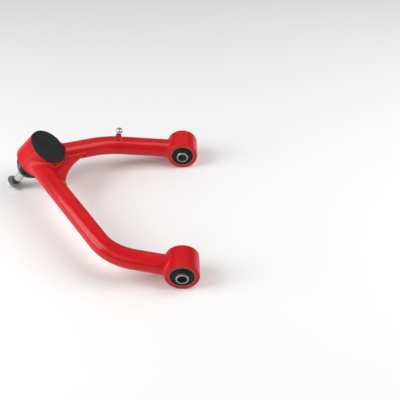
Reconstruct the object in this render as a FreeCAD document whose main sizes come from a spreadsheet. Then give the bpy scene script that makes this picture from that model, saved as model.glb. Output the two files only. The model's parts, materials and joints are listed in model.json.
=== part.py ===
"""Tubular upper control arm of a pickup truck, left hand, with its ball joint and bushings.

Two bent tubes run from a pair of bushing eyes to a ball joint cup. The row frame has its origin
midway between the two bushings on the pivot axis, +Y along that axis towards the rear bushing,
+X inboard and +Z up. Three local frames are used:
- arm frame: the row frame turned about Y, so that its XY plane holds both tube centrelines;
- joint frame: origin at the ball's centre, +Z along the cup's axis and out through the cap;
- eye frames: origin at a bushing's centre, +Z along the pivot axis.
"""

import FreeCAD, Part
import math
import os

import Sketcher
from FreeCAD import Placement, Rotation, Vector

SIZES = {
    # layout of the two tubes, in the arm frame
    "pivot_spacing": 279.4,
    "arm_slope": 10.5,
    "tube_od": 30.4,
    "tube_wall": 4.0,
    "rear_bend_out": 129.4,
    "rear_bend_inset": 16.2,
    "rear_bend_radius": 136.0,
    "front_start_ahead": 1.5,
    "front_bend_out": 105.1,
    "front_bend_inset": 6.3,
    "front_bend_radius": 72.0,
    "front_aim_out": 10.7,
    "front_aim_ahead": 7.7,
    # gusset plate between the tubes
    "gusset_thick": 5.0,
    "gusset_radius": 110.0,
    "gusset_rear_reach": 78.0,
    "gusset_front_reach": 86.0,
    "gusset_inset": 12.2,
    # bushing eyes and bushings
    "eye_od": 50.8,
    "eye_length": 40.0,
    "eye_bore": 38.1,
    "edge_break": 0.8,
    "shell_wall": 1.0,
    "rubber_proud": 0.6,
    "rubber_dish": 1.2,
    "sleeve_od": 19.2,
    "sleeve_bore": 14.6,
    "sleeve_length": 50.0,
    "sleeve_gap": 0.05,
    # screw boss for a brake line bracket, on the rear tube
    "boss_out": 111.6,
    "boss_foot_d": 13.0,
    "boss_top_d": 8.6,
    "boss_rise": 6.6,
    "screw_d": 6.0,
    "screw_bite": 4.5,
    "screw_stand": 7.2,
    "screw_head_d": 11.4,
    "screw_head_rim": 1.8,
    "screw_head_rise": 5.4,
    "screw_head_top_d": 7.4,
    "screw_hex": 4.0,
    "screw_hex_deep": 2.6,
    # ball joint cup
    "cup_out": 232.4,
    "cup_along": 67.8,
    "cup_lift": 3.9,
    "cup_cant": 30.8,
    "cup_lean": 2.7,
    "cup_od": 63.0,
    "cup_wall": 4.0,
    "cup_height": 41.5,
    "cup_top": 29.0,
    "cup_lip": 3.0,
    "cup_lip_width": 2.0,
    "ball_drop": 7.0,
    # ball stud and nut
    "ball_r": 16.0,
    "shank_r": 6.9,
    "taper_start": 41.0,
    "taper_end": 61.0,
    "taper_small_r": 6.1,
    "thread_r": 5.9,
    "stud_end": 81.5,
    "stud_hex": 6.0,
    "stud_hex_deep": 6.0,
    "nut_face": 71.5,
    "nut_height": 8.55,
    "nut_hex": 18.0,
    "nut_flange_r": 12.6,
    "nut_flange_edge": 1.2,
    "nut_flange_cone": 1.6,
    # bearings and cover inside the housing
    "ball_gap": 0.05,
    "seat_r": 21.0,
    "seat_floor": 8.0,
    "seat_split": 0.4,
    "seat_top": 13.5,
    "seat_mouth_r": 10.0,
    "washer_thick": 1.2,
    "washer_rise": 1.8,
    "washer_hole_r": 10.5,
    "washer_fit": 0.3,
    "cover_thick": 3.0,
    "crimp_thick": 1.5,
    "crimp_width": 2.2,
    "nose_end": 17.0,
    "nose_r": 23.5,
    "nose_mouth_r": 18.5,
    "nose_throat_r": 15.0,
    "ring_thick": 1.6,
    "ring_groove": 1.5,
    "ring_width": 4.2,
    "ring_gap_angle": 34.0,
    "ring_ear_r": 3.0,
    "ring_ear_hole_r": 1.1,
    "nipple_thread_r": 3.0,
    "nipple_hex": 8.0,
    "nipple_hex_high": 2.4,
    "nipple_neck_r": 1.7,
    "nipple_tip_r": 2.3,
    "nipple_high": 7.2,
    # cap over the cup's mouth
    "cap_edge": 0.4,
    "cap_rim": 1.7,
    "cap_crown": 1.9,
    "cap_skin": 2.2,
    "cap_skirt_deep": 5.0,
    "cap_skirt_wall": 2.0,
    "cap_fit": 0.3,
    "seam": 0.1,
    # rubber boot and its two clamping rings
    "boot_gap": 0.3,
    "boot_wall": 2.2,
    "boot_bead_r": 26.5,
    "boot_bead_high": 7.4,
    "boot_waist_r": 19.4,
    "boot_waist": 25.6,
    "boot_belly_r": 20.4,
    "boot_belly": 30.2,
    "boot_lip_r": 14.4,
    "boot_end": 39.2,
    "clip_wire_r": 0.9,
}

HEX_CORNER = 1 / math.sqrt(3)
CUT_LENGTH = 200.0

doc = FreeCAD.newDocument("control_arm")
nodes = {}


# --- driving sizes -------------------------------------------------------------------------


def make_sheet():
    """Puts every driving size in its own named cell."""
    sheet = doc.addObject("Spreadsheet::Sheet", "Sizes")
    for row, (name, value) in enumerate(SIZES.items(), start=1):
        sheet.set(f"A{row}", name)
        sheet.set(f"B{row}", str(value))
        sheet.setAlias(f"B{row}", name)
    doc.recompute()
    return sheet


class Size:
    """A length together with the sheet expression that gives it."""

    def __init__(self, value, text):
        self.value = value
        self.text = text

    def __add__(self, other):
        other = as_size(other)
        return Size(self.value + other.value, f"({self.text} + {other.text})")

    def __sub__(self, other):
        other = as_size(other)
        return Size(self.value - other.value, f"({self.text} - {other.text})")

    def __mul__(self, other):
        other = as_size(other)
        return Size(self.value * other.value, f"({self.text} * {other.text})")

    def __truediv__(self, other):
        other = as_size(other)
        return Size(self.value / other.value, f"({self.text} / {other.text})")

    def __neg__(self):
        return Size(-self.value, f"(0 - {self.text})")


def as_size(number):
    return number if isinstance(number, Size) else Size(float(number), repr(float(number)))


def cell(name):
    """The size that the sheet holds under this name."""
    return Size(float(getattr(sheet, name)), f"Sizes.{name}")


def root(number):
    return Size(math.sqrt(number.value), f"sqrt({number.text})")


def other_leg(slant, leg):
    """The second short side of a right triangle."""
    return root(slant * slant - leg * leg)


def bind(thing, prop, size):
    """Sets a property of a document object from the sheet."""
    thing.setExpression(prop, as_size(size).text)


# --- sketches and features -----------------------------------------------------------------


def new_body(label, place):
    body = doc.addObject("PartDesign::Body", label)
    body.Label = label
    body.Placement = place
    return body


def plane_of(body, role):
    return next(p for p in body.Origin.OriginFeatures if p.Role == role)


def new_sketch(body, role, level=None):
    """A sketch on one of the body's origin planes, raised along the plane's normal."""
    sketch = body.newObject("Sketcher::SketchObject", "outline")
    sketch.AttachmentSupport = (plane_of(body, role), [""])
    sketch.MapMode = "FlatFace"
    if level is not None:
        sketch.AttachmentOffset = Placement(Vector(0, 0, level.value), Rotation())
        bind(sketch, "AttachmentOffset.Base.z", level)
    return sketch


def drive(sketch, index, size):
    bind(sketch, f"Constraints[{index}]", size)


def fix_point(sketch, edge, end, corner):
    """Holds one end of a sketch edge at a corner given by two sizes."""
    for kind, size in zip(("DistanceX", "DistanceY"), corner):
        index = sketch.addConstraint(Sketcher.Constraint(kind, -1, 1, edge, end, size.value))
        drive(sketch, index, size)


def arc_through(start, end, radius):
    """The arc from start to end; a positive radius turns left and a negative one right."""
    chord = end - start
    middle = (start + end) * 0.5
    left = Vector(-chord.y, chord.x, 0).normalize()
    height = math.sqrt(max(radius * radius - chord.Length**2 / 4, 0.0))
    centre = middle + left * math.copysign(height, radius)
    first, last = (start, end) if radius > 0 else (end, start)
    angles = [math.atan2(p.y - centre.y, p.x - centre.x) for p in (first, last)]
    if angles[1] <= angles[0]:
        angles[1] += 2 * math.pi
    circle = Part.Circle(centre, Vector(0, 0, 1), abs(radius))
    return Part.ArcOfCircle(circle, *angles)


def draw_outline(sketch, corners):
    """Draws a closed outline. A corner is (x, y), or (x, y, radius) when an arc leads up to it."""
    sized = [tuple(as_size(value) for value in corner) for corner in corners]
    points = [Vector(corner[0].value, corner[1].value, 0) for corner in sized]
    ends = []
    for index, corner in enumerate(sized):
        start, end = points[index - 1], points[index]
        if len(corner) == 2:
            edge = sketch.addGeometry(Part.LineSegment(start, end), False)
            ends.append((edge, 1, 2))
            continue
        radius = corner[2]
        edge = sketch.addGeometry(arc_through(start, end, radius.value), False)
        ends.append((edge, 1, 2) if radius.value > 0 else (edge, 2, 1))
        size = radius if radius.value > 0 else -radius
        index = sketch.addConstraint(Sketcher.Constraint("Radius", edge, size.value))
        drive(sketch, index, size)
    for index, corner in enumerate(sized):
        edge, first, last = ends[index]
        following, next_first, _ = ends[(index + 1) % len(ends)]
        sketch.addConstraint(
            Sketcher.Constraint("Coincident", edge, last, following, next_first)
        )
        fix_point(sketch, edge, last, corner)


def draw_circle(sketch, x, y, radius):
    x, y, radius = as_size(x), as_size(y), as_size(radius)
    circle = Part.Circle(Vector(x.value, y.value, 0), Vector(0, 0, 1), radius.value)
    edge = sketch.addGeometry(circle, False)
    index = sketch.addConstraint(Sketcher.Constraint("Radius", edge, radius.value))
    drive(sketch, index, radius)
    fix_point(sketch, edge, 3, (x, y))


def revolve(body, corners, kind="Revolution", angle=360.0):
    """Turns an outline of (radius, height) corners about the body's Z axis."""
    sketch = new_sketch(body, "XZ_Plane")
    draw_outline(sketch, corners)
    feature = body.newObject(f"PartDesign::{kind}", kind.lower())
    feature.Profile = sketch
    feature.ReferenceAxis = (sketch, ["V_Axis"])
    feature.Angle = angle
    doc.recompute()
    return feature


def pad(body, sketch, length, symmetric=False):
    feature = body.newObject("PartDesign::Pad", "pad")
    feature.Profile = sketch
    feature.SideType = "Symmetric" if symmetric else "One side"
    bind(feature, "Length", length)
    doc.recompute()
    return feature


def pocket(body, sketch, depth, upwards=False):
    """Cuts a sketch into the body, and makes sure that it did cut."""
    before = body.Shape.Volume
    feature = body.newObject("PartDesign::Pocket", "pocket")
    feature.Profile = sketch
    feature.Reversed = upwards
    bind(feature, "Length", depth)
    doc.recompute()
    if feature.Shape.Volume > before - 1e-3:
        raise ValueError(f"{body.Label}: a pocket cuts nothing")
    return feature


def hexagon(across):
    """Corners of a hexagon with its flats across Y."""
    tip = across * HEX_CORNER
    half = across / 2
    return [
        (tip, as_size(0)),
        (tip / 2, half),
        (-tip / 2, half),
        (-tip, as_size(0)),
        (-tip / 2, -half),
        (tip / 2, -half),
    ]


def turned(label, corners, place):
    """A sub-part made in one turning."""
    body = new_body(label, place)
    revolve(body, corners)
    nodes[label] = body
    return body


def cylinder(name, radius, length, place):
    """A plain cylinder centred on its placement, used as a cutting tool."""
    tool = doc.addObject("Part::Cylinder", name)
    bind(tool, "Radius", radius)
    bind(tool, "Height", length)
    tool.Placement = place * Placement(Vector(0, 0, -as_size(length).value / 2), Rotation())
    return tool


def cut(label, base, tools):
    """The base less every tool, as the finished sub-part."""
    together = tools[0]
    if len(tools) > 1:
        together = doc.addObject("Part::MultiFuse", f"{label}_tools")
        together.Shapes = tools
    result = doc.addObject("Part::Cut", label)
    result.Label = label
    result.Base = base
    result.Tool = together
    doc.recompute()
    nodes[label] = result
    return result


# --- weldment: tubes, eyes, cup, gusset and boss -------------------------------------------


def point_beside(start, towards, distance, inset):
    """The point at a distance along a line and an inset to the left of it."""
    run_x = towards[0] - start[0]
    run_y = towards[1] - start[1]
    run = root(run_x * run_x + run_y * run_y)
    return (
        start[0] + (run_x * distance - run_y * inset) / run,
        start[1] + (run_y * distance + run_x * inset) / run,
    )


def draw_path(name, start, bend, end, radius):
    """A tube's centreline: two straight runs joined by a tangent arc."""
    sketch = doc.addObject("Sketcher::SketchObject", name)
    sketch.Placement = arm_place
    at = [Vector(p[0].value, p[1].value, 0) for p in (start, bend, end)]
    first = (at[1] - at[0]).normalize()
    second = (at[2] - at[1]).normalize()
    half_turn = first.getAngle(second) / 2
    tangent = radius.value * math.tan(half_turn)
    enter = at[1] - first * tangent
    leave = at[1] + second * tangent
    left_turn = first.cross(second).z > 0
    arc = arc_through(enter, leave, radius.value if left_turn else -radius.value)
    run_in = sketch.addGeometry(Part.LineSegment(at[0], enter), False)
    bow = sketch.addGeometry(arc, False)
    run_out = sketch.addGeometry(Part.LineSegment(leave, at[2]), False)
    corner = sketch.addGeometry(Part.Point(at[1]), True)
    bow_in, bow_out = (1, 2) if left_turn else (2, 1)
    sketch.addConstraint(Sketcher.Constraint("Tangent", run_in, 2, bow, bow_in))
    sketch.addConstraint(Sketcher.Constraint("Tangent", bow, bow_out, run_out, 1))
    index = sketch.addConstraint(Sketcher.Constraint("Radius", bow, radius.value))
    drive(sketch, index, radius)
    fix_point(sketch, run_in, 1, start)
    fix_point(sketch, run_out, 2, end)
    fix_point(sketch, corner, 1, bend)
    sketch.addConstraint(Sketcher.Constraint("PointOnObject", corner, 1, run_in))
    sketch.addConstraint(Sketcher.Constraint("PointOnObject", corner, 1, run_out))
    doc.recompute()
    return sketch


def sweep_round(name, path, radius):
    """A round bar of this radius along a centreline."""
    first_run = path.Geometry[0]
    start = first_run.StartPoint
    heading = first_run.EndPoint - start
    ring = doc.addObject("Part::Circle", f"{name}_ring")
    bind(ring, "Radius", radius)
    ring.Placement = arm_place * Placement(start, Rotation(Vector(0, 0, 1), heading))
    bar = doc.addObject("Part::Sweep", name)
    bar.Sections = [ring]
    bar.Spine = (path, ["Edge1", "Edge2", "Edge3"])
    bar.Solid = True
    doc.recompute()
    return bar


def make_eye(label, place):
    """A turned steel eye with its outer edges broken."""
    outer = cell("eye_od") / 2
    bore = cell("eye_bore") / 2
    top = cell("eye_length") / 2
    edge = cell("edge_break")
    turned(
        label,
        [
            (bore, -top),
            (outer - edge, -top),
            (outer, -top + edge),
            (outer, top - edge),
            (outer - edge, top),
            (bore, top),
        ],
        place,
    )


def make_bushing(end, place):
    """Steel outer shell, rubber and inner sleeve of one bushing."""
    top = cell("eye_length") / 2
    shell_outer = cell("eye_bore") / 2
    shell_inner = shell_outer - cell("shell_wall")
    shell = [(shell_inner, -top), (shell_outer, -top), (shell_outer, top), (shell_inner, top)]
    turned(f"{end}_bushing_shell", shell, place)

    rubber_bore = cell("sleeve_od") / 2 + cell("sleeve_gap")
    proud = top + cell("rubber_proud")
    dish = top - cell("rubber_dish")
    ring = (shell_inner - rubber_bore) / 4
    lower = [
        (rubber_bore, -proud),
        (rubber_bore + ring, -proud),
        (rubber_bore + ring * 2, -dish),
        (rubber_bore + ring * 3, -dish),
        (shell_inner, -top),
    ]
    upper = [(radius, -height) for radius, height in reversed(lower)]
    turned(f"{end}_bushing_rubber", lower + upper, place)

    outer = cell("sleeve_od") / 2
    bore = cell("sleeve_bore") / 2
    tip = cell("sleeve_length") / 2
    edge = cell("edge_break")
    sleeve = [
        (bore, -tip),
        (outer - edge, -tip),
        (outer, -tip + edge),
        (outer, tip - edge),
        (outer - edge, tip),
        (bore, tip),
    ]
    turned(f"{end}_bushing_sleeve", sleeve, place)


def make_cup():
    """The ring that the tubes are welded to, with a lip below and a ring groove above."""
    outer = cell("cup_od") / 2
    bore = outer - cell("cup_wall")
    top = cell("cup_top")
    low = top - cell("cup_height")
    lip_top = low + cell("cup_lip")
    lip_bore = bore - cell("cup_lip_width")
    ring_low, ring_top = ring_levels()
    groove = bore + cell("ring_groove")
    edge = cell("edge_break")
    turned(
        "ball_joint_cup",
        [
            (lip_bore, low),
            (outer - edge, low),
            (outer, low + edge),
            (outer, top - edge),
            (outer - edge, top),
            (bore, top),
            (bore, ring_top),
            (groove, ring_top),
            (groove, ring_low),
            (bore, ring_low),
            (bore, lip_top),
            (lip_bore, lip_top),
        ],
        joint_place,
    )


def make_tubes_and_gusset():
    """Both bent tubes, coped to the eyes and the cup, and the plate between them."""
    rear_start = (as_size(0), cell("pivot_spacing") / 2)
    rear_bend = (-cell("rear_bend_out"), rear_start[1] - cell("rear_bend_inset"))
    rear_end = (-cell("cup_out"), cell("cup_along"))
    front_eye = -cell("pivot_spacing") / 2
    front_start = (as_size(0), front_eye - cell("front_start_ahead"))
    front_bend = (-cell("front_bend_out"), front_eye + cell("front_bend_inset"))
    front_end = (rear_end[0] - cell("front_aim_out"), rear_end[1] - cell("front_aim_ahead"))
    tube_r = cell("tube_od") / 2
    bore_r = tube_r - cell("tube_wall")
    cup_tool = cylinder("cup_space", cell("cup_od") / 2, CUT_LENGTH, joint_place)

    solids = {}
    for end, points, bend_radius, place in (
        ("rear", (rear_start, rear_bend, rear_end), cell("rear_bend_radius"), rear_place),
        ("front", (front_start, front_bend, front_end), cell("front_bend_radius"), front_place),
    ):
        path = draw_path(f"{end}_centreline", *points, bend_radius)
        solid = sweep_round(f"{end}_solid", path, tube_r)
        bore = sweep_round(f"{end}_bore", path, bore_r)
        eye_tool = cylinder(f"{end}_eye_space", cell("eye_od") / 2, cell("eye_length"), place)
        cut(f"{end}_tube", solid, [bore, eye_tool, cup_tool])
        solids[end] = solid

    inset = cell("gusset_inset")
    rear_tip = point_beside(rear_end, rear_bend, cell("gusset_rear_reach"), -inset)
    front_tip = point_beside(front_end, front_bend, cell("gusset_front_reach"), inset)
    plate = new_body("gusset_blank", arm_place)
    sketch = new_sketch(plate, "XY_Plane")
    concave = -cell("gusset_radius")
    draw_outline(sketch, [rear_end, front_end, front_tip, (*rear_tip, concave)])
    pad(plate, sketch, cell("gusset_thick"), symmetric=True)
    cut("gusset_plate", plate, [solids["rear"], solids["front"], cup_tool])
    return rear_start, rear_bend, solids["rear"]


def make_line_bracket_mount(eye, bend, tube):
    """A welded screw boss on top of the rear tube, and its button head screw."""
    out = cell("boss_out")
    along = eye[1] + (bend[1] - eye[1]) * out / cell("rear_bend_out")
    spot = Placement(Vector(-out.value, along.value, 0), Rotation())
    foot = cell("tube_od") / 4
    seat = cell("tube_od") / 2
    top = seat + cell("boss_rise")
    hole = cell("screw_d") / 2
    blank = new_body("boss_blank", arm_place * spot)
    revolve(
        blank,
        [
            (0, foot),
            (cell("boss_foot_d") / 2, foot),
            (cell("boss_foot_d") / 2, seat),
            (cell("boss_top_d") / 2, top),
            (hole, top),
            (hole, top - cell("screw_bite")),
            (0, top - cell("screw_bite")),
        ],
    )
    cut("line_bracket_boss", blank, [tube])

    rim = cell("screw_head_d") / 2
    under = top + cell("screw_stand")
    crown = under + cell("screw_head_rise")
    screw = turned(
        "line_bracket_screw",
        [
            (0, top - cell("screw_bite")),
            (hole, top - cell("screw_bite")),
            (hole, under),
            (rim, under),
            (rim, under + cell("screw_head_rim")),
            (cell("screw_head_top_d") / 2, crown, rim),
            (0, crown),
        ],
        arm_place * spot,
    )
    socket = new_sketch(screw, "XY_Plane", crown)
    draw_outline(socket, hexagon(cell("screw_hex")))
    pocket(screw, socket, cell("screw_hex_deep"))


# --- ball joint ----------------------------------------------------------------------------


def cover_levels():
    """Underside and top of the cover plate."""
    low = cell("seat_top") + cell("washer_thick") + cell("washer_rise")
    return low, low + cell("cover_thick")


def ring_levels():
    """Underside and top of the retaining ring, which lies on the crimped housing."""
    low = cover_levels()[1] + cell("crimp_thick")
    return low, low + cell("ring_thick")


def make_housing():
    """Forged housing: shoulder on the cup's lip, flared nose below, crimped lip above."""
    outer = cell("cup_od") / 2 - cell("cup_wall")
    lip_bore = outer - cell("cup_lip_width")
    cup_low = cell("cup_top") - cell("cup_height")
    shoulder = cup_low + cell("cup_lip")
    cover_top = cover_levels()[1]
    top = ring_levels()[0]
    floor = -cell("seat_floor")
    turned(
        "joint_housing",
        [
            (cell("nose_mouth_r"), -cell("nose_end")),
            (cell("nose_r"), -cell("nose_end")),
            (cell("nose_r"), cup_low),
            (lip_bore, cup_low),
            (lip_bore, shoulder),
            (outer, shoulder),
            (outer, top),
            (cell("seat_r") - cell("crimp_width"), top),
            (cell("seat_r") - cell("crimp_width"), cover_top),
            (cell("seat_r"), cover_top),
            (cell("seat_r"), floor),
            (cell("nose_throat_r"), floor),
        ],
        joint_place,
    )


def make_seats():
    """Lower and upper bearing seats, spherical inside with a running gap to the ball."""
    ball = cell("ball_r") + cell("ball_gap")
    outer = cell("seat_r")
    low = cell("seat_floor")
    turned(
        "lower_bearing_seat",
        [
            (other_leg(ball, low), -low, -ball),
            (outer, -low),
            (outer, as_size(0)),
            (ball, as_size(0)),
        ],
        joint_place,
    )
    split = cell("seat_split")
    mouth = cell("seat_mouth_r")
    turned(
        "upper_bearing_seat",
        [
            (other_leg(ball, split), split, -ball),
            (outer, split),
            (outer, cell("seat_top")),
            (mouth, cell("seat_top")),
            (mouth, other_leg(ball, mouth)),
        ],
        joint_place,
    )


def make_preload_washer():
    """Conical spring washer between the upper seat and the cover plate."""
    low = cell("seat_top")
    rise = cell("washer_rise")
    thick = cell("washer_thick")
    outer = cell("seat_r") - cell("washer_fit")
    hole = cell("washer_hole_r")
    turned(
        "preload_washer",
        [(outer, low), (outer, low + thick), (hole, low + rise + thick), (hole, low + rise)],
        joint_place,
    )


def make_cover_and_nipple():
    """Cover plate with its tapped hole, and the grease nipple screwed into it."""
    low, top = cover_levels()
    thread = cell("nipple_thread_r")
    plate = [(thread, low), (cell("seat_r"), low), (cell("seat_r"), top), (thread, top)]
    turned("cover_plate", plate, joint_place)

    hex_top = top + cell("nipple_hex_high")
    tip = top + cell("nipple_high")
    ball = cell("nipple_tip_r")
    neck = cell("nipple_neck_r")
    nipple = new_body("grease_nipple", joint_place)
    sketch = new_sketch(nipple, "XY_Plane", top)
    draw_outline(sketch, hexagon(cell("nipple_hex")))
    pad(nipple, sketch, cell("nipple_hex_high"))
    revolve(
        nipple,
        [
            (0, low),
            (thread, low),
            (thread, hex_top),
            (neck, hex_top + thread - neck),
            (neck, tip - ball),
            (ball, tip - ball / 2),
            (ball / 2, tip),
            (0, tip),
        ],
    )
    nodes["grease_nipple"] = nipple


def make_retaining_ring():
    """Open snap ring in the cup's groove, with an ear and a plier hole at each end."""
    low, top = ring_levels()
    outer = cell("cup_od") / 2 - cell("cup_wall") + cell("ring_groove")
    inner = outer - cell("ring_width")
    ring = new_body("retaining_ring", joint_place)
    gap = cell("ring_gap_angle")
    revolve(
        ring,
        [(inner, low), (outer, low), (outer, top), (inner, top)],
        angle=360.0 - gap.value,
    )
    ear = cell("ring_ear_r")
    reach = inner - ear / 3
    for turn in (0.0, -gap.value):
        x = reach * math.cos(math.radians(turn))
        y = reach * math.sin(math.radians(turn))
        ears = new_sketch(ring, "XY_Plane", low)
        draw_circle(ears, x, y, ear)
        pad(ring, ears, cell("ring_thick"))
        holes = new_sketch(ring, "XY_Plane", top)
        draw_circle(holes, x, y, cell("ring_ear_hole_r"))
        pocket(ring, holes, cell("ring_thick"))
    nodes["retaining_ring"] = ring


def make_stud():
    """Ball stud: ball, shank, 1 in 12 taper, thread and a hexagon socket in its end."""
    ball = cell("ball_r")
    shank = cell("shank_r")
    thread = cell("thread_r")
    small = cell("taper_small_r")
    end = -cell("stud_end")
    edge = cell("edge_break")
    stud = turned(
        "ball_stud",
        [
            (0, end),
            (thread - edge, end),
            (thread, end + edge),
            (thread, -cell("taper_end")),
            (small, -cell("taper_end")),
            (shank, -cell("taper_start")),
            (shank, -other_leg(ball, shank)),
            (0, ball, ball),
        ],
        joint_place,
    )
    socket = new_sketch(stud, "XY_Plane", end)
    draw_outline(socket, hexagon(cell("stud_hex")))
    pocket(stud, socket, cell("stud_hex_deep"), upwards=True)


def make_nut():
    """Hexagon nut with a conical flange on the side that meets the steering knuckle."""
    face = -cell("nut_face")
    low = face - cell("nut_height")
    flange = cell("nut_flange_r")
    flange_low = face - cell("nut_flange_edge")
    hex_side = cell("nut_hex") / 2
    corner = cell("nut_hex") * HEX_CORNER
    nut = new_body("stud_nut", joint_place)
    sketch = new_sketch(nut, "XY_Plane", low)
    draw_outline(sketch, hexagon(cell("nut_hex")))
    pad(nut, sketch, cell("nut_height"))
    revolve(
        nut,
        [
            (0, face),
            (0, flange_low - cell("nut_flange_cone")),
            (hex_side, flange_low - cell("nut_flange_cone")),
            (flange, flange_low),
            (flange, face),
        ],
    )
    drop = (corner - hex_side) * HEX_CORNER
    revolve(nut, [(hex_side, low), (corner, low), (corner, low + drop)], "Groove")
    hole = new_sketch(nut, "XY_Plane", face)
    draw_circle(hole, 0, 0, cell("thread_r"))
    pocket(nut, hole, cell("nut_height"))
    nodes["stud_nut"] = nut


def make_cap():
    """Domed cap whose skirt plugs the cup's mouth."""
    top = cell("cup_top")
    bore = cell("cup_od") / 2 - cell("cup_wall")
    outer = cell("cup_od") / 2 - cell("cap_edge")
    under = top + cell("seam")
    rim = under + cell("cap_rim")
    skirt = bore - cell("cap_fit")
    inner = skirt - cell("cap_skirt_wall")
    foot = top - cell("cap_skirt_deep")
    crown = rim + cell("cap_crown")
    edge = cell("edge_break")
    shoulder = outer - edge
    rise = crown - rim - edge
    dome = (shoulder * shoulder + rise * rise) / (rise * 2)
    inside = rim - cell("cap_skin") + cell("cap_crown") / 2
    turned(
        "ball_joint_cap",
        [
            (0, inside),
            (inner, inside),
            (inner, foot),
            (skirt, foot),
            (skirt, under),
            (outer, under),
            (outer, rim),
            (shoulder, rim + edge),
            (0, crown, dome),
        ],
        joint_place,
    )


def make_boot_and_clips():
    """Rubber boot from the housing's nose to the shank, and the wire ring at each end of it."""
    gap = cell("boot_gap")
    wall = cell("boot_wall")
    wire = cell("clip_wire_r")
    top = cell("cup_top") - cell("cup_height") - gap
    bead = cell("boot_bead_r")
    bead_low = top - cell("boot_bead_high")
    clip_r = bead - wire / 2
    clip_level = top - cell("boot_bead_high") / 2
    upper_groove = clip_r - wire - gap
    nose = cell("nose_r") + gap
    waist, waist_level = cell("boot_waist_r"), -cell("boot_waist")
    belly, belly_level = cell("boot_belly_r"), -cell("boot_belly")
    lip = cell("boot_lip_r")
    end = -cell("boot_end")
    ring_level = end + wire * 4
    ring_r = lip + wire / 2
    lower_groove = ring_r - wire - gap
    bore = cell("shank_r") + gap
    turned(
        "dust_boot",
        [
            (nose, top),
            (nose, bead_low),
            (waist - wall, waist_level + wall / 2),
            (waist - wall, waist_level - wall / 2),
            (belly - wall, belly_level + wall / 2),
            (belly - wall, belly_level),
            (bore, ring_level),
            (bore, end),
            (lip, end),
            (lip, ring_level - wire * 1.5),
            (lower_groove, ring_level - wire),
            (lower_groove, ring_level + wire),
            (lip, ring_level + wire * 1.5),
            (belly, belly_level - wall / 2),
            (belly, belly_level + wall / 2),
            (waist, waist_level),
            (bead, bead_low),
            (bead, clip_level - wire * 1.5),
            (upper_groove, clip_level - wire),
            (upper_groove, clip_level + wire),
            (bead, clip_level + wire * 1.5),
            (bead, top),
        ],
        joint_place,
    )
    for label, radius, level in (
        ("boot_upper_clip", clip_r, clip_level),
        ("boot_lower_clip", ring_r, ring_level),
    ):
        clip = new_body(label, joint_place)
        sketch = new_sketch(clip, "XZ_Plane")
        draw_circle(sketch, radius, level, wire)
        ring = clip.newObject("PartDesign::Revolution", "revolution")
        ring.Profile = sketch
        ring.ReferenceAxis = (sketch, ["V_Axis"])
        nodes[label] = clip


# --- build, check and write ----------------------------------------------------------------


def check_and_write():
    """Refuses a failed object or a bad shape, then writes one STEP file for each node."""
    doc.recompute()
    for thing in doc.Objects:
        if "Invalid" in thing.State or "Error" in thing.State:
            raise ValueError(f"{thing.Label} failed: {thing.State}")
    for label, thing in nodes.items():
        if thing.Shape.isNull() or not thing.Shape.isValid():
            raise ValueError(f"{label} has no valid shape")
        if len(thing.Shape.Solids) != 1:
            raise ValueError(f"{label} has {len(thing.Shape.Solids)} solids")
    os.makedirs("parts", exist_ok=True)
    for label, thing in nodes.items():
        thing.Shape.exportStep(f"parts/{label}.step")


sheet = make_sheet()
x_axis, y_axis = Vector(1, 0, 0), Vector(0, 1, 0)
arm_place = Placement(Vector(), Rotation(y_axis, SIZES["arm_slope"]))
cup_turn = Rotation(y_axis, SIZES["cup_cant"]) * Rotation(x_axis, SIZES["cup_lean"])
cup_spot = Vector(-SIZES["cup_out"], SIZES["cup_along"], SIZES["cup_lift"])
cup_place = Placement(cup_spot, cup_turn)
joint_place = arm_place * cup_place * Placement(Vector(0, 0, -SIZES["ball_drop"]), Rotation())
along_pivot = Rotation(x_axis, -90)
rear_place = Placement(Vector(0, SIZES["pivot_spacing"] / 2, 0), along_pivot)
front_place = Placement(Vector(0, -SIZES["pivot_spacing"] / 2, 0), along_pivot)

rear_eye_centre, rear_bend_point, rear_solid = make_tubes_and_gusset()
make_cup()
make_eye("front_bushing_eye", front_place)
make_eye("rear_bushing_eye", rear_place)
make_bushing("front", front_place)
make_bushing("rear", rear_place)
make_line_bracket_mount(rear_eye_centre, rear_bend_point, rear_solid)
make_housing()
make_seats()
make_preload_washer()
make_cover_and_nipple()
make_retaining_ring()
make_stud()
make_nut()
make_cap()
make_boot_and_clips()
check_and_write()
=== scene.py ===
"""The looks of a tubular upper control arm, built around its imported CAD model."""

import json
import math

import bmesh
import bpy
from mathutils import Matrix, Vector, noise


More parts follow.
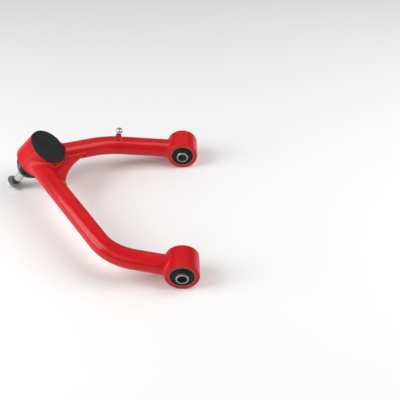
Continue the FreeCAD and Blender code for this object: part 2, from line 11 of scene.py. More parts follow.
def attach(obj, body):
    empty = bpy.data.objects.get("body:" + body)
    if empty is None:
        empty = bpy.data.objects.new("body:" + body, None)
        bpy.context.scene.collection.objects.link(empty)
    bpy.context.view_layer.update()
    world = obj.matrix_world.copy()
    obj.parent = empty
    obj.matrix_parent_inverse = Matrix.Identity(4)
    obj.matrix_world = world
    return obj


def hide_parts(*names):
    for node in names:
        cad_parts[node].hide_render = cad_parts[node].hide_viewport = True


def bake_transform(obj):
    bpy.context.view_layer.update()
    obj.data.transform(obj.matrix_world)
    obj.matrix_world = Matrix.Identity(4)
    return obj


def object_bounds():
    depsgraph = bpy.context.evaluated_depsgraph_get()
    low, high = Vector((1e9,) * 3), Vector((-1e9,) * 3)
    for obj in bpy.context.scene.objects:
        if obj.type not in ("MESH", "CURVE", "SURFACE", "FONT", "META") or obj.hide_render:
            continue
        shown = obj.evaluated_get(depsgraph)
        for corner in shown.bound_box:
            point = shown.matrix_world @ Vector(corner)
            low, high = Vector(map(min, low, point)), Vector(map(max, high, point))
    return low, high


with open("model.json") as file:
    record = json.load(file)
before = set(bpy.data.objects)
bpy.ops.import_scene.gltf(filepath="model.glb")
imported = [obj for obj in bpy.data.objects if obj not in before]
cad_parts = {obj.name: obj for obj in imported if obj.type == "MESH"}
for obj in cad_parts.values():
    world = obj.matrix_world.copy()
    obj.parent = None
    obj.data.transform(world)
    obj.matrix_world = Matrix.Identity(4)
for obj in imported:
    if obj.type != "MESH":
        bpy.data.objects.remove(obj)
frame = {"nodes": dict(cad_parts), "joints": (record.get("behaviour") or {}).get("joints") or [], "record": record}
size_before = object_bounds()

# --- the red weldment -----------------------------------------------------------------------
# Both bent tubes, the eyes, the ball joint cup, the gusset and the screw boss are mild steel,
# MIG welded together, shot blasted and then powder coated in one go with a gloss red.

MM = 0.001
RED = (0.66, 0.008, 0.012, 1)
RED_DEEP = (0.53, 0.005, 0.008, 1)
RED_THIN = (0.78, 0.035, 0.035, 1)


def add_socket(group, name, kind, way="INPUT", value=None):
    socket = group.interface.new_socket(name=name, in_out=way, socket_type=kind)
    if value is not None:
        socket.default_value = value


def build_drift():
    """Slow change over the surface, as a mask from 0 to 1."""
    group = bpy.data.node_groups.new("surface_drift", "ShaderNodeTree")
    add_socket(group, "Scale", "NodeSocketFloat", value=40.0)
    add_socket(group, "Detail", "NodeSocketFloat", value=4.0)
    add_socket(group, "Mask", "NodeSocketFloat", "OUTPUT")
    nodes, links = group.nodes, group.links
    given, out = nodes.new("NodeGroupInput"), nodes.new("NodeGroupOutput")
    place = nodes.new("ShaderNodeTexCoord")
    cloud = nodes.new("ShaderNodeTexNoise")
    spread = nodes.new("ShaderNodeMapRange")
    spread.inputs["From Min"].default_value = 0.3
    spread.inputs["From Max"].default_value = 0.7
    links.new(place.outputs["Object"], cloud.inputs["Vector"])
    links.new(given.outputs["Scale"], cloud.inputs["Scale"])
    links.new(given.outputs["Detail"], cloud.inputs["Detail"])
    links.new(cloud.outputs["Fac"], spread.inputs["Value"])
    links.new(spread.outputs["Result"], out.inputs["Mask"])
    return group


def build_edge_rub():
    """Mask of the rounded-off outer edges, broken up by a fine noise."""
    group = bpy.data.node_groups.new("edge_rub", "ShaderNodeTree")
    add_socket(group, "Width", "NodeSocketFloat", value=0.0008)
    add_socket(group, "Gain", "NodeSocketFloat", value=6.0)
    add_socket(group, "Mask", "NodeSocketFloat", "OUTPUT")
    nodes, links = group.nodes, group.links
    given, out = nodes.new("NodeGroupInput"), nodes.new("NodeGroupOutput")
    rounded = nodes.new("ShaderNodeBevel")
    rounded.samples = 4
    flat = nodes.new("ShaderNodeNewGeometry")
    same = nodes.new("ShaderNodeVectorMath")
    same.operation = "DOT_PRODUCT"
    apart = nodes.new("ShaderNodeMath")
    apart.operation = "SUBTRACT"
    apart.inputs[0].default_value = 1.0
    gain = nodes.new("ShaderNodeMath")
    gain.operation = "MULTIPLY"
    gain.use_clamp = True
    place = nodes.new("ShaderNodeTexCoord")
    speck = nodes.new("ShaderNodeTexNoise")
    speck.inputs["Scale"].default_value = 420.0
    broken = nodes.new("ShaderNodeMath")
    broken.operation = "MULTIPLY"
    links.new(given.outputs["Width"], rounded.inputs["Radius"])
    links.new(rounded.outputs["Normal"], same.inputs[0])
    links.new(flat.outputs["Normal"], same.inputs[1])
    links.new(same.outputs["Value"], apart.inputs[1])
    links.new(apart.outputs["Value"], gain.inputs[0])
    links.new(given.outputs["Gain"], gain.inputs[1])
    links.new(place.outputs["Object"], speck.inputs["Vector"])
    links.new(gain.outputs["Value"], broken.inputs[0])
    links.new(speck.outputs["Fac"], broken.inputs[1])
    links.new(broken.outputs["Value"], out.inputs["Mask"])
    return group


def build_grain():
    """A fine cloudy relief, as a height from 0 to 1."""
    group = bpy.data.node_groups.new("fine_grain", "ShaderNodeTree")
    add_socket(group, "Scale", "NodeSocketFloat", value=500.0)
    add_socket(group, "Detail", "NodeSocketFloat", value=2.0)
    add_socket(group, "Height", "NodeSocketFloat", "OUTPUT")
    nodes, links = group.nodes, group.links
    given, out = nodes.new("NodeGroupInput"), nodes.new("NodeGroupOutput")
    place = nodes.new("ShaderNodeTexCoord")
    cloud = nodes.new("ShaderNodeTexNoise")
    links.new(place.outputs["Object"], cloud.inputs["Vector"])
    links.new(given.outputs["Scale"], cloud.inputs["Scale"])
    links.new(given.outputs["Detail"], cloud.inputs["Detail"])
    links.new(cloud.outputs["Fac"], out.inputs["Height"])
    return group


surface_drift = build_drift()
edge_rub = build_edge_rub()
fine_grain = build_grain()


def start_finish(name, **plain):
    """A material with its Principled shader; plain values go straight on the shader's sockets."""
    finish = bpy.data.materials.new(name)
    finish.use_nodes = True
    shader = finish.node_tree.nodes["Principled BSDF"]
    for socket, value in plain.items():
        shader.inputs[socket.replace("_", " ")].default_value = value
    return finish, finish.node_tree.nodes, finish.node_tree.links, shader


def use_group(nodes, group, **values):
    node = nodes.new("ShaderNodeGroup")
    node.node_tree = group
    for socket, value in values.items():
        node.inputs[socket].default_value = value
    return node


def tint(nodes, links, mask, first, second):
    """The first colour where the mask is 0 and the second where it is 1."""
    mix = nodes.new("ShaderNodeMix")
    mix.data_type = "RGBA"  # its colours are then inputs 6 and 7, and output 2
    links.new(mask, mix.inputs[0])
    for socket, colour in ((mix.inputs[6], first), (mix.inputs[7], second)):
        if isinstance(colour, tuple):
            socket.default_value = colour
        else:
            links.new(colour, socket)
    return mix.outputs[2]


def ranged(nodes, links, mask, low, high):
    spread = nodes.new("ShaderNodeMapRange")
    spread.inputs["To Min"].default_value = low
    spread.inputs["To Max"].default_value = high
    links.new(mask, spread.inputs["Value"])
    return spread.outputs["Result"]


def raised(nodes, links, height, distance, under=None):
    """A bump from this height, over another normal if there is one."""
    bump = nodes.new("ShaderNodeBump")
    bump.inputs["Distance"].default_value = distance
    links.new(height, bump.inputs["Height"])
    if under is not None:
        links.new(under, bump.inputs["Normal"])
    return bump.outputs["Normal"]


def grained(nodes, links, scale, detail, distance, under=None):
    """A bump of fine grain, over another normal if there is one."""
    relief = use_group(nodes, fine_grain, Scale=scale, Detail=detail)
    return raised(nodes, links, relief.outputs["Height"], distance, under)


def make_powder_coat():
    finish, nodes, links, shader = start_finish(
        "red_powder_coat", Specular_IOR_Level=0.1, Coat_Roughness=0.13
    )
    drift = use_group(nodes, surface_drift, Scale=26.0)
    rub = use_group(nodes, edge_rub, Width=0.0012, Gain=5.0)
    body = tint(nodes, links, drift.outputs["Mask"], RED, RED_DEEP)
    colour = tint(nodes, links, rub.outputs["Mask"], body, RED_THIN)
    links.new(colour, shader.inputs["Base Color"])
    haze = use_group(nodes, surface_drift, Scale=90.0)
    roughness = ranged(nodes, links, haze.outputs["Mask"], 0.42, 0.52)
    links.new(roughness, shader.inputs["Roughness"])
    coat = ranged(nodes, links, drift.outputs["Mask"], 0.42, 0.34)
    links.new(coat, shader.inputs["Coat Weight"])
    fine_peel = grained(nodes, links, 520.0, 1.0, 0.00006)
    orange_peel = grained(nodes, links, 95.0, 2.0, 0.00018, fine_peel)
    links.new(orange_peel, shader.inputs["Normal"])
    return finish


powder_coat = make_powder_coat()


def give(node, finish):
    """Puts a finish on a CAD node, or on a new piece."""
    piece = frame["nodes"][node] if isinstance(node, str) else node
    piece.data.materials.clear()
    piece.data.materials.append(finish)


RED_NODES = (
    "front_tube",
    "rear_tube",
    "front_bushing_eye",
    "rear_bushing_eye",
    "ball_joint_cup",
    "gusset_plate",
    "line_bracket_boss",
)
for node in RED_NODES:
    give(node, powder_coat)

# --- welds ----------------------------------------------------------------------------------
# MIG fillet welds run right round each tube at its eye and at the cup, along the gusset on both
# faces and round the screw boss. They keep a faint ripple and are coated with the rest.

EYE_R = 25.4 * MM
CUP_R = 31.5 * MM
TUBE_R = 15.2 * MM
PLATE_HALF = 2.5 * MM
SUNK = 0.15 * MM
PUDDLE = 3.0 * MM
PUDDLE_SWELL = 0.13
WANDER = 0.12
WANDER_RUN = 6 * MM
FILLET_SHARES = (0.0, 0.18, 0.38, 0.62, 0.82, 1.0)
FILLET_FULLNESS = 0.22

mounts = {mount["name"]: mount for mount in frame["record"]["mounts"]}
joints = {joint["name"]: joint for joint in frame["joints"]}
ball = Vector(joints["stud_spin"]["pos_m"])
cup_axis = Vector(joints["stud_spin"]["axis"])
arm_up = Vector(mounts["line_bracket_seat"]["axis"])
rear_eye = Vector(mounts["rear_bushing_bore"]["pos_m"])
front_eye = Vector(mounts["front_bushing_bore"]["pos_m"])
aft = Vector((0, 1, 0))
outboard = arm_up.cross(aft)


def on_arm(out, along):
    """A point of the arm's own plane, from its distances outboard and aft in mm."""
    return outboard * out * MM + aft * along * MM


REAR_START = on_arm(0, 139.7)
REAR_BEND = on_arm(129.4, 123.5)
REAR_END = on_arm(232.4, 67.8)
FRONT_START = on_arm(0, -141.2)
FRONT_BEND = on_arm(105.1, -133.4)
FRONT_END = on_arm(243.1, 60.1)


def fillet_weld(name, toe_a, root, toe_b, core, closed):
    """A concave weld between two skins, from its two toes, its root and a line buried below."""
    form = bmesh.new()
    rows = []
    for share in FILLET_SHARES:
        row = []
        for a, corner, b in zip(toe_a, root, toe_b):
            full = corner.lerp((a + b) / 2, FILLET_FULLNESS)
            row.append(a * (1 - share) ** 2 + full * 2 * share * (1 - share) + b * share**2)
        rows.append(row)
    rows.append(core)
    loops = []
    for row in rows:
        verts = [form.verts.new(point) for point in row]
        loops.append([form.edges.new(pair) for pair in zip(verts, verts[1:])])
        if closed:
            loops[-1].append(form.edges.new((verts[-1], verts[0])))
    for loop, following in zip(loops, loops[1:] + loops[:1]):
        bmesh.ops.bridge_loops(form, edges=loop + following)
    bmesh.ops.holes_fill(form, edges=form.edges, sides=0)
    bmesh.ops.recalc_face_normals(form, faces=form.faces)
    for edge in loops[0] + loops[-2]:  # the two toes stay sharp
        edge.smooth = False
    mesh = bpy.data.meshes.new(name)
    for face in form.faces:
        face.smooth = True
    form.to_mesh(mesh)
    form.free()
    weld = bpy.data.objects.new(name, mesh)
    bpy.context.scene.collection.objects.link(weld)
    give(weld, powder_coat)
    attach(weld, "arm")


def puddled(distance, spot):
    """Share of the weld's leg at a distance run: it swells with each puddle and wanders."""
    swell = PUDDLE_SWELL * math.sin(2 * math.pi * distance / PUDDLE)
    return 1 + swell + WANDER * noise.noise(spot / WANDER_RUN)


RING_STEPS = 288
RING_CORE = 1.6 * MM


def ring_weld(name, origin, heading, centre, axis, radius, leg, levels):
    """The weld where a tube runs into a cylinder, inside the cylinder's own two levels."""
    across = heading.cross(arm_up).normalized()
    flat = heading - axis * heading.dot(axis)
    toe_a, root, toe_b, core = [], [], [], []
    travelled = 0.0
    for step in range(RING_STEPS):
        turn = 2 * math.pi * step / RING_STEPS
        out = arm_up * math.cos(turn) + across * math.sin(turn)
        start = origin + out * TUBE_R - centre
        level = start - axis * start.dot(axis)
        a, b, c = flat.dot(flat), 2 * flat.dot(level), level.dot(level) - radius**2
        run = (-b - math.sqrt(max(0.0, b * b - 4 * a * c))) / (2 * a)
        corner = held(start + heading * run, axis, radius, levels)
        if root:
            travelled += (corner - (root[-1] - centre)).length
        reach = leg * puddled(travelled, corner)
        skin = (corner - axis * corner.dot(axis)).normalized()
        spread = (out - skin * out.dot(skin)).normalized()
        foot = held(corner + spread * reach, axis, radius - SUNK, levels)
        toe_a.append(centre + corner - heading * reach - out * SUNK)
        root.append(centre + corner)
        toe_b.append(centre + foot)
        core.append(centre + corner - out * RING_CORE - skin * RING_CORE)
    fillet_weld(name, toe_a, root, toe_b, core, closed=True)


def held(point, axis, radius, levels):
    """A point moved onto a cylinder's skin and between its two levels."""
    height = point.dot(axis)
    away = (point - axis * height).normalized() * radius
    return away + axis * min(max(height, levels[0]), levels[1])


CUP_LEVELS = (-12.0 * MM, 28.1 * MM)
EYE_LEVELS = (-19.6 * MM, 19.6 * MM)
CUP_LEG = 7.5 * MM
EYE_LEG = 4.4 * MM
for end, start, bend, eye, stop in (
    ("rear", REAR_START, REAR_BEND, rear_eye, REAR_END),
    ("front", FRONT_START, FRONT_BEND, front_eye, FRONT_END),
):
    to_eye, to_cup = (start - bend).normalized(), (stop - bend).normalized()
    ring_weld(f"{end}_eye_weld", bend, to_eye, eye, aft, EYE_R, EYE_LEG, EYE_LEVELS)
    ring_weld(f"{end}_cup_weld", bend, to_cup, ball, cup_axis, CUP_R, CUP_LEG, CUP_LEVELS)

GUSSET_LEG = 3.4 * MM
GUSSET_STEPS = 96
GUSSET_CORE = 1.2 * MM
END_SHARE = 0.3
RUN_OUT_STEPS = 8
for end, cup_end, bend, near, far in (
    ("rear", REAR_END, REAR_BEND, 33 * MM, 74 * MM),
    ("front", FRONT_END, FRONT_BEND, 34 * MM, 82 * MM),
):
    back = (bend - cup_end).normalized()
    across = back.cross(arm_up)
    if across.dot(on_arm(100, 0) - cup_end) < 0:
        across = -across
    for face, side in (("top", arm_up), ("under", -arm_up)):
        toe_a, root, toe_b, core = [], [], [], []
        for step in range(GUSSET_STEPS + 1):
            spot = cup_end + back * (near + (far - near) * step / GUSSET_STEPS)
            from_end = min(step, GUSSET_STEPS - step)
            taper = min(1.0, END_SHARE + from_end / RUN_OUT_STEPS)
            leg = GUSSET_LEG * taper * puddled((spot - cup_end).length, spot)
            lift = math.asin(PLATE_HALF / TUBE_R)
            toe = lift + leg / TUBE_R
            low = across * math.cos(lift) + side * math.sin(lift)
            high = across * math.cos(toe) + side * math.sin(toe)
            root.append(spot + low * TUBE_R)
            toe_a.append(spot + high * (TUBE_R - SUNK))
            toe_b.append(root[-1] + across * leg - side * SUNK)
            core.append(root[-1] - low * GUSSET_CORE - side * GUSSET_CORE)
        fillet_weld(f"gusset_{end}_weld_{face}", toe_a, root, toe_b, core, closed=False)


TUBE_CLEAR = 0.3 * MM
ARC_STEPS = 720


def outside_tube(point, origin, heading):
    away = point - origin
    return (away - heading * away.dot(heading)).length > TUBE_R + TUBE_CLEAR


cup_side = cup_axis.orthogonal().normalized()
cup_other = cup_axis.cross(cup_side)
rear_back = (REAR_BEND - REAR_END).normalized()
front_back = (FRONT_BEND - FRONT_END).normalized()
between = (rear_back + front_back).normalized()
for face, side in (("top", arm_up), ("under", -arm_up)):
    arc = []
    for step in range(ARC_STEPS):
        turn = math.radians(360 * step / ARC_STEPS)
        skin = cup_side * math.cos(turn) + cup_other * math.sin(turn)
        rim = ball + skin * CUP_R
        rise = PLATE_HALF * side.dot(arm_up)
        point = rim + cup_axis * (rise - rim.dot(arm_up)) / cup_axis.dot(arm_up)
        inside = (point - REAR_END).dot(between) > 0
        clear_of_rear = outside_tube(point, REAR_END, rear_back)
        if inside and clear_of_rear and outside_tube(point, FRONT_END, front_back):
            arc.append((point, skin))
    split = max(range(len(arc)), key=lambda i: (arc[i][0] - arc[i - 1][0]).length)
    arc = arc[split:] + arc[:split]
    toe_a, root, toe_b, core = [], [], [], []
    travelled = 0.0
    for point, skin in arc:
        if root:
            travelled += (point - root[-1]).length
        leg = GUSSET_LEG * puddled(travelled, point)
        climb = (side - skin * side.dot(skin)).normalized()
        away = (skin - arm_up * skin.dot(arm_up)).normalized()
        toe_a.append(point + climb * leg - skin * SUNK)
        root.append(point)
        toe_b.append(point + away * leg - side * SUNK)
        core.append(point - skin * GUSSET_CORE - side * GUSSET_CORE)
    fillet_weld(f"gusset_cup_weld_{face}", toe_a, root, toe_b, core, closed=False)

BOSS_R = 6.5 * MM
BOSS_SLOPE = 2.2 / 6.6
BOSS_LEG = 2.0 * MM
BOSS_STEPS = 144
BOSS_CORE = 1.0 * MM
boss_foot = Vector(mounts["line_bracket_seat"]["pos_m"])
boss_line = REAR_START.lerp(REAR_BEND, 111.6 / 129.4)


def crown_height(reach, turn):
    """How far the tube's skin is above its centreline, at a reach from the boss's own axis."""
    return math.sqrt(TUBE_R**2 - (reach * math.sin(turn)) ** 2)


heading = (REAR_BEND - REAR_START).normalized()
across = heading.cross(arm_up)
toe_a, root, toe_b, core = [], [], [], []
for step in range(BOSS_STEPS):
    turn = 2 * math.pi * step / BOSS_STEPS
    out = heading * math.cos(turn) + across * math.sin(turn)
    leg = BOSS_LEG * puddled(turn * BOSS_R, boss_foot + out * BOSS_R)
    skin = crown_height(BOSS_R, turn)
    top = skin + leg
    narrow = BOSS_R - max(0.0, top - TUBE_R) * BOSS_SLOPE - SUNK
    toe_a.append(boss_line + out * narrow + arm_up * top)
    low = crown_height(BOSS_R + leg, turn) - SUNK
    root.append(boss_line + out * BOSS_R + arm_up * skin)
    toe_b.append(boss_line + out * (BOSS_R + leg) + arm_up * low)
    core.append(boss_line + out * (BOSS_R - BOSS_CORE) + arm_up * (skin - BOSS_CORE))
fillet_weld("boss_weld", toe_a, root, toe_b, core, closed=True)

# --- bushings -------------------------------------------------------------------------------
# Each eye holds a moulded natural rubber bushing, bonded to a thin pressed steel shell and to
# a cold drawn inner sleeve, whose end faces are serrated to grip the frame bracket.


def build_pivot_ripples():
    """Ripples round the pivot axis, and rings out from it, as heights from 0 to 1."""
    group = bpy.data.node_groups.new("pivot_ripples", "ShaderNodeTree")
    add_socket(group, "Round", "NodeSocketFloat", value=40.0)
    add_socket(group, "Across", "NodeSocketFloat", value=4500.0)
    add_socket(group, "Teeth", "NodeSocketFloat", "OUTPUT")
    add_socket(group, "Rings", "NodeSocketFloat", "OUTPUT")
    nodes, links = group.nodes, group.links
    given, out = nodes.new("NodeGroupInput"), nodes.new("NodeGroupOutput")
    place = nodes.new("ShaderNodeTexCoord")
    parts = nodes.new("ShaderNodeSeparateXYZ")
    angle = nodes.new("ShaderNodeMath")
    angle.operation = "ARCTAN2"
    flat = nodes.new("ShaderNodeCombineXYZ")
    reach = nodes.new("ShaderNodeVectorMath")
    reach.operation = "LENGTH"
    links.new(place.outputs["Object"], parts.inputs["Vector"])
    links.new(parts.outputs["X"], angle.inputs[0])
    links.new(parts.outputs["Z"], angle.inputs[1])
    links.new(parts.outputs["X"], flat.inputs["X"])
    links.new(parts.outputs["Z"], flat.inputs["Y"])
    links.new(flat.outputs["Vector"], reach.inputs[0])
    for value, count, height in ((angle, "Round", "Teeth"), (reach, "Across", "Rings")):
        times = nodes.new("ShaderNodeMath")
        times.operation = "MULTIPLY"
        sine = nodes.new("ShaderNodeMath")
        sine.operation = "SINE"
        spread = nodes.new("ShaderNodeMapRange")
        spread.inputs["From Min"].default_value = -1.0
        links.new(value.outputs["Value"], times.inputs[0])
        links.new(given.outputs[count], times.inputs[1])
        links.new(times.outputs["Value"], sine.inputs[0])
        links.new(sine.outputs["Value"], spread.inputs["Value"])
        links.new(spread.outputs["Result"], out.inputs[height])
    return group


pivot_ripples = build_pivot_ripples()


RUBBED_BRIGHT = (0.85, 0.84, 0.82, 1)


def make_steel(
    name,
    light,
    dark,
    rough,
    scale=160.0,
    rub_colour=RUBBED_BRIGHT,
    ripple=None,
    metal=1.0,
):
    """Bare or plated steel: patchy tone, brighter rubbed edges and fine machining lines."""
    finish, nodes, links, shader = start_finish(name, Metallic=metal)
    drift = use_group(nodes, surface_drift, Scale=scale)
    rub = use_group(nodes, edge_rub, Width=0.0006, Gain=8.0)
    body = tint(nodes, links, drift.outputs["Mask"], light, dark)
    colour = tint(nodes, links, rub.outputs["Mask"], body, rub_colour)
    links.new(colour, shader.inputs["Base Color"])
    links.new(ranged(nodes, links, drift.outputs["Mask"], *rough), shader.inputs["Roughness"])
    normal = grained(nodes, links, 1400.0, 3.0, 0.00003)
    if ripple is not None:
        normal = raised(nodes, links, ripple(nodes, links), 0.00006, normal)
    links.new(normal, shader.inputs["Normal"])
    return finish


def serrations(nodes, links):
    """Radial teeth, on the sleeve's two end faces only."""
    ripples = use_group(nodes, pivot_ripples, Round=40.0)
    place = nodes.new("ShaderNodeTexCoord")
    parts = nodes.new("ShaderNodeSeparateXYZ")
    facing = nodes.new("ShaderNodeMath")
    facing.operation = "ABSOLUTE"
    on_face = nodes.new("ShaderNodeMath")
    on_face.operation = "GREATER_THAN"
    on_face.inputs[1].default_value = 0.9
    teeth = nodes.new("ShaderNodeMath")
    teeth.operation = "MULTIPLY"
    links.new(place.outputs["Normal"], parts.inputs["Vector"])
    links.new(parts.outputs["Y"], facing.inputs[0])
    links.new(facing.outputs["Value"], on_face.inputs[0])
    links.new(ripples.outputs["Teeth"], teeth.inputs[0])
    links.new(on_face.outputs["Value"], teeth.inputs[1])
    return teeth.outputs["Value"]


def make_rubber(name, light, dark, rough, rings, gloss=0.3):
    """Black moulded rubber with a faint bloom, fine mould grain and flash rings."""
    finish, nodes, links, shader = start_finish(name, Specular_IOR_Level=gloss)
    drift = use_group(nodes, surface_drift, Scale=120.0)
    colour = tint(nodes, links, drift.outputs["Mask"], light, dark)
    links.new(colour, shader.inputs["Base Color"])
    links.new(ranged(nodes, links, drift.outputs["Mask"], *rough), shader.inputs["Roughness"])
    normal = grained(nodes, links, 1800.0, 3.0, 0.00004)
    if rings is not None:
        ripples = use_group(nodes, pivot_ripples, Across=rings)
        normal = raised(nodes, links, ripples.outputs["Rings"], 0.0001, normal)
    links.new(normal, shader.inputs["Normal"])
    return finish


shell_steel = make_steel(
    "bushing_shell_steel",
    (0.20, 0.17, 0.14, 1),
    (0.10, 0.085, 0.07, 1),
    (0.4, 0.55),
    rub_colour=(0.36, 0.32, 0.28, 1),
)
sleeve_steel = make_steel(
    "sleeve_steel",
    (0.42, 0.42, 0.42, 1),
    (0.27, 0.27, 0.27, 1),
    (0.34, 0.48),
    rub_colour=(0.6, 0.6, 0.6, 1),
    ripple=serrations,
)
bushing_rubber = make_rubber(
    "bushing_rubber",
    (0.008, 0.008, 0.009, 1),
    (0.004, 0.004, 0.0045, 1),
    (0.5, 0.66),
    rings=4500.0,
)
for end in ("front", "rear"):
    give(f"{end}_bushing_shell", shell_steel)
    give(f"{end}_bushing_rubber", bushing_rubber)
    give(f"{end}_bushing_sleeve", sleeve_steel)

# --- bracket screw --------------------------------------------------------------------------
# An M6 stainless button head screw stands in the boss with its thread showing, as the arm is
# sold without the brake line bracket that it will hold.


def turned_piece(name, outline, axle, steps, levels):
    """A closed outline of (radius, level) in mm, spun right round an axle and put in place."""
    form = bmesh.new()
    corners = [form.verts.new((radius * MM, 0, level * MM)) for radius, level in outline]
    edges = [form.edges.new((corners[i - 1], corners[i])) for i in range(len(corners))]
    bmesh.ops.spin(
        form,
        geom=corners + edges,
        axis=(0, 0, 1),
        cent=(0, 0, 0),
        angle=2 * math.pi,
        steps=steps,
        use_merge=True,
    )
    return settle(name, form, axle, levels)


SEAM = 0.0001 * MM


def settle(name, form, axle, levels=0):
    """Closes a form's seams, turns its faces outwards and puts it on its axle as a new piece."""
    bmesh.ops.remove_doubles(form, verts=form.verts, dist=SEAM)
    bmesh.ops.recalc_face_normals(form, faces=form.faces)
    mesh = bpy.data.meshes.new(name)
    form.to_mesh(mesh)
    form.free()
    for face in mesh.polygons:
        face.use_smooth = True
    piece = bpy.data.objects.new(name, mesh)
    bpy.context.scene.collection.objects.link(piece)
    if levels:
        smooth = piece.modifiers.new("smooth", "SUBSURF")
        smooth.levels = smooth.render_levels = levels
        bpy.context.view_layer.update()
        shown = piece.evaluated_get(bpy.context.evaluated_depsgraph_get())
        piece.data = bpy.data.meshes.new_from_object(shown)
        piece.modifiers.clear()
    piece.data.transform(axle)
    return piece


RIDGE_STEPS = 48
CREST_START, CREST_END, RIDGE_FOOT = 0.42, 0.58, 0.94  # shares of the pitch


def thread_ridge(name, axle, root, crest, pitch, low, high):
    """The helical ridge of a thread on a plain core, both radii and levels in mm."""
    turns = (high - low) / pitch - 1
    count = round(turns * RIDGE_STEPS)
    form = bmesh.new()
    corners = [
        form.verts.new((root * MM, 0, low * MM)),
        form.verts.new((crest * MM, 0, (low + pitch * CREST_START) * MM)),
        form.verts.new((crest * MM, 0, (low + pitch * CREST_END) * MM)),
        form.verts.new((root * MM, 0, (low + pitch * RIDGE_FOOT) * MM)),
    ]
    profile = form.faces.new(corners)
    bmesh.ops.spin(
        form,
        geom=[profile, *profile.edges, *profile.verts],
        axis=(0, 0, 1),
        cent=(0, 0, 0),
        dvec=(0, 0, turns * pitch * MM / count),
        angle=2 * math.pi * turns,
        steps=count,
    )
    return settle(name, form, axle)


def frame_on(centre, axis):
    """The placement whose Z runs along an axis from a point."""
    return Matrix.Translation(centre) @ axis.to_track_quat("Z", "Y").to_matrix().to_4x4()


screw_steel = make_steel(
    "stainless_screw", (0.74, 0.74, 0.76, 1), (0.56, 0.56, 0.58, 1), (0.26, 0.38), scale=300.0
)
# Near-black steel for the coned washer, the snap ring and the top boot clip. The same near-black also colours both
# thread ridges, as painted shade in the thread grooves.
blackened_and_thread_shade = make_steel(
    "blackened_steel_and_thread_shade",
    (0.10, 0.10, 0.105, 1),
    (0.045, 0.045, 0.05, 1),
    (0.36, 0.5),
    rub_colour=(0.3, 0.3, 0.3, 1),
)
give("line_bracket_screw", screw_steel)
screw_axle = frame_on(boss_foot, arm_up)
screw_thread = thread_ridge(
    "line_bracket_screw_thread", screw_axle, root=3.02, crest=3.3, pitch=1.0, low=0.1, high=7.1
)
# The screw's thread ridge is near black: painted shade of the grooves on a bare stainless thread.
give(screw_thread, blackened_and_thread_shade)
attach(screw_thread, "arm")

# --- ball joint inside the cup --------------------------------------------------------------
# A forged housing on the cup's lip holds two acetal seats, loaded by a coned washer under a
# crimped cover with its grease nipple, and a black snap ring keeps it all in the cup.

forged_steel = make_steel(
    "forged_steel", (0.27, 0.27, 0.28, 1), (0.16, 0.16, 0.17, 1), (0.45, 0.6)
)
zinc_plate = make_steel(
    "zinc_plate",
    (0.76, 0.77, 0.79, 1),
    (0.62, 0.63, 0.65, 1),
    (0.36, 0.48),
    scale=220.0,
    metal=0.35,
)


def make_seat_plastic():
    finish, nodes, links, shader = start_finish("bearing_polymer", IOR=1.48)
    drift = use_group(nodes, surface_drift, Scale=140.0)
    cream, tan = (0.72, 0.68, 0.58, 1), (0.60, 0.56, 0.47, 1)
    colour = tint(nodes, links, drift.outputs["Mask"], cream, tan)
    links.new(colour, shader.inputs["Base Color"])
    links.new(ranged(nodes, links, drift.outputs["Mask"], 0.4, 0.55), shader.inputs["Roughness"])
    links.new(grained(nodes, links, 900.0, 2.0, 0.00003), shader.inputs["Normal"])
    return finish


seat_plastic = make_seat_plastic()
for node, finish in (
    ("joint_housing", forged_steel),
    ("cover_plate", forged_steel),
    ("lower_bearing_seat", seat_plastic),
    ("upper_bearing_seat", seat_plastic),
    ("preload_washer", blackened_and_thread_shade),
    ("retaining_ring", blackened_and_thread_shade),
    ("grease_nipple", zinc_plate),
):
    give(node, finish)

# --- ball stud and nut ----------------------------------------------------------------------
# The stud is induction hardened steel with a ground shank and taper and a rolled M12 thread;
# a zinc plated flange nut is run onto the thread for shipping.

joint_across = Vector(joints["stud_tilt"]["axis"])
joint_turn = Matrix((joint_across, cup_axis.cross(joint_across), cup_axis)).transposed()
joint_axle = Matrix.Translation(ball) @ joint_turn.to_4x4()


def ground_lines(nodes, links):
    """Fine grinding lines round the stud, from the distance along its axis."""
    place = nodes.new("ShaderNodeTexCoord")
    along = nodes.new("ShaderNodeVectorMath")
    along.operation = "DOT_PRODUCT"
    along.inputs[1].default_value = cup_axis
    links.new(place.outputs["Object"], along.inputs[0])
    stripes = nodes.new("ShaderNodeTexNoise")
    stripes.noise_dimensions = "1D"
    stripes.inputs["Scale"].default_value = 2600.0
    stripes.inputs["Detail"].default_value = 2.0
    links.new(along.outputs["Value"], stripes.inputs["W"])
    return stripes.outputs["Fac"]


ground_steel = make_steel(
    "ground_steel", (0.72, 0.70, 0.67, 1), (0.55, 0.53, 0.51, 1), (0.20, 0.34), ripple=ground_lines
)
give("ball_stud", ground_steel)
give("stud_nut", zinc_plate)
stud_thread = thread_ridge(
    "ball_stud_thread", joint_axle, root=5.92, crest=6.3, pitch=1.25, low=-71.4, high=-61.2
)
# The stud's thread ridge is near black: painted shade of the grooves on the bare rolled thread.
give(stud_thread, blackened_and_thread_shade)
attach(stud_thread, "ball_stud")
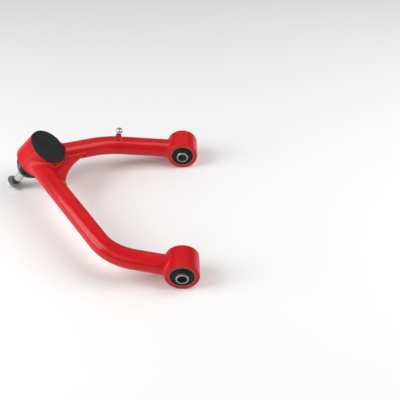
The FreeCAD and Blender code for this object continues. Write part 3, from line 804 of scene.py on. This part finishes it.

# --- dust boot ------------------------------------------------------------------------------
# A black chloroprene boot runs from the housing's nose to the shank, with a wire clip in its
# top bead and in its lower lip. It is made in two parts that meet in its last fold.

BOOT_UPPER = (
    (23.9, -12.9), (26.1, -12.9), (26.5, -13.3), (26.5, -14.9), (25.2, -15.4), (25.2, -17.6),
    (26.5, -18.0), (26.5, -18.8), (25.4, -19.4), (21.9, -19.6), (21.3, -20.3), (21.6, -21.4),
    (22.8, -24.2), (23.4, -25.6), (22.8, -26.6), (19.4, -26.8), (18.3, -27.5), (18.5, -28.5),
    (19.7, -30.2), (19.9, -30.9), (19.2, -31.5), (18.0, -31.7), (17.8, -32.4), (16.2, -32.4),
    (16.4, -31.0), (17.9, -30.2), (16.8, -28.4), (16.4, -27.2), (17.6, -25.9), (21.0, -25.2),
    (20.0, -22.4), (19.4, -20.6), (19.8, -19.0), (23.2, -18.3), (23.9, -17.5), (23.9, -15.6),
)
BOOT_LOWER = (
    (17.5, -31.4), (17.6, -32.3), (18.0, -32.8), (18.1, -33.5), (17.2, -34.2), (14.8, -34.5),
    (13.7, -34.9), (13.6, -36.4), (14.4, -36.9), (14.5, -38.4), (13.8, -39.1), (10.6, -39.2),
    (7.3, -39.1), (7.3, -36.4), (10.4, -35.6), (14.4, -33.8), (16.1, -32.6), (16.3, -31.4),
)
boot_rubber = make_rubber(
    "boot_rubber",
    (0.008, 0.008, 0.010, 1),
    (0.004, 0.004, 0.005, 1),
    (0.17, 0.27),
    rings=None,
    gloss=0.5,
)
for name, outline, over, under, top, bottom in (
    ("dust_boot_upper", BOOT_UPPER, "arm", "dust_boot", -18.8, -31.2),
    ("dust_boot_lower", BOOT_LOWER, "dust_boot", "boot_ring", -32.1, -35.0),
):
    half = turned_piece(name, outline, joint_axle, steps=32, levels=2)
    give(half, boot_rubber)
    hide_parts("dust_boot")
    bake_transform(half)
spring_steel = make_steel(
    "spring_steel", (0.50, 0.50, 0.51, 1), (0.36, 0.36, 0.37, 1), (0.26, 0.38)
)
give("boot_upper_clip", blackened_and_thread_shade)
give("boot_lower_clip", spring_steel)

# --- cap ------------------------------------------------------------------------------------
# A satin black moulded cap snaps into the cup over the nipple and keeps dirt and water out.


def make_cap_plastic():
    finish, nodes, links, shader = start_finish("cap_plastic", Specular_IOR_Level=0.25)
    drift = use_group(nodes, surface_drift, Scale=55.0)
    rub = use_group(nodes, edge_rub, Width=0.0007, Gain=4.0)
    charcoal, soot = (0.021, 0.022, 0.026, 1), (0.014, 0.015, 0.018, 1)
    rubbed = (0.06, 0.06, 0.065, 1)
    body = tint(nodes, links, drift.outputs["Mask"], charcoal, soot)
    colour = tint(nodes, links, rub.outputs["Mask"], body, rubbed)
    links.new(colour, shader.inputs["Base Color"])
    links.new(ranged(nodes, links, drift.outputs["Mask"], 0.5, 0.62), shader.inputs["Roughness"])
    links.new(grained(nodes, links, 1500.0, 3.0, 0.00005), shader.inputs["Normal"])
    return finish


give("ball_joint_cap", make_cap_plastic())

# --- table, lights and camera ---------------------------------------------------------------
# The arm lies on a plain pale sheet between two side softboxes, with a softbox behind it and
# a small fill lamp in front.


def make_paper():
    finish, nodes, links, shader = start_finish("pale_sheet", Roughness=0.9)
    drift = use_group(nodes, surface_drift, Scale=3.0)
    links.new(
        tint(nodes, links, drift.outputs["Mask"], (0.93, 0.93, 0.93, 1), (0.92, 0.92, 0.92, 1)),
        shader.inputs["Base Color"],
    )
    return finish


form = bmesh.new()
bmesh.ops.create_grid(form, x_segments=1, y_segments=1, size=6.0)
bmesh.ops.translate(form, verts=form.verts, vec=(0, 0, size_before[0].z))
sheet = bpy.data.meshes.new("table_sheet")
form.to_mesh(sheet)
form.free()
table = bpy.data.objects.new("table_sheet", sheet)
bpy.context.scene.collection.objects.link(table)
give(table, make_paper())


def softbox(name, place, aim, width, height, power):
    lamp = bpy.data.lights.new(name, "AREA")
    lamp.shape = "RECTANGLE"
    lamp.size = width
    lamp.size_y = height
    lamp.energy = power
    box = bpy.data.objects.new(name, lamp)
    box.location = place
    box.rotation_euler = (Vector(aim) - Vector(place)).to_track_quat("-Z", "Y").to_euler()
    bpy.context.scene.collection.objects.link(box)


softbox("left_softbox", (-1.38, -0.3, 0.86), (-0.12, 0.0, 0.0), 0.9, 1.5, 23.0)
softbox("right_softbox", (0.98, -0.05, 1.12), (-0.12, 0.0, 0.0), 1.0, 1.5, 18.0)
softbox("back_softbox", (-0.12, 1.8, 1.5), (-0.12, 0.0, 0.0), 2.6, 1.8, 6.0)
softbox("front_fill", (-0.55, -1.3, 1.0), (-0.2, 0.0, 0.0), 1.2, 0.9, 4.0)

world = bpy.data.worlds.new("studio")
world.use_nodes = True
world.node_tree.nodes["Background"].inputs["Color"].default_value = (1, 1, 1, 1)
world.node_tree.nodes["Background"].inputs["Strength"].default_value = 0.06
bpy.context.scene.world = world
bpy.context.scene.view_settings.view_transform = "Standard"

lens = bpy.data.cameras.new("product_view")
lens.sensor_width = 36.0
lens.lens = 67.12
camera = bpy.data.objects.new("product_view", lens)
camera.location = (0.01304, -0.8842, 0.7877)
camera.rotation_euler = (math.radians(48.5), 0, math.radians(-0.98))
bpy.context.scene.collection.objects.link(camera)
bpy.context.scene.camera = camera
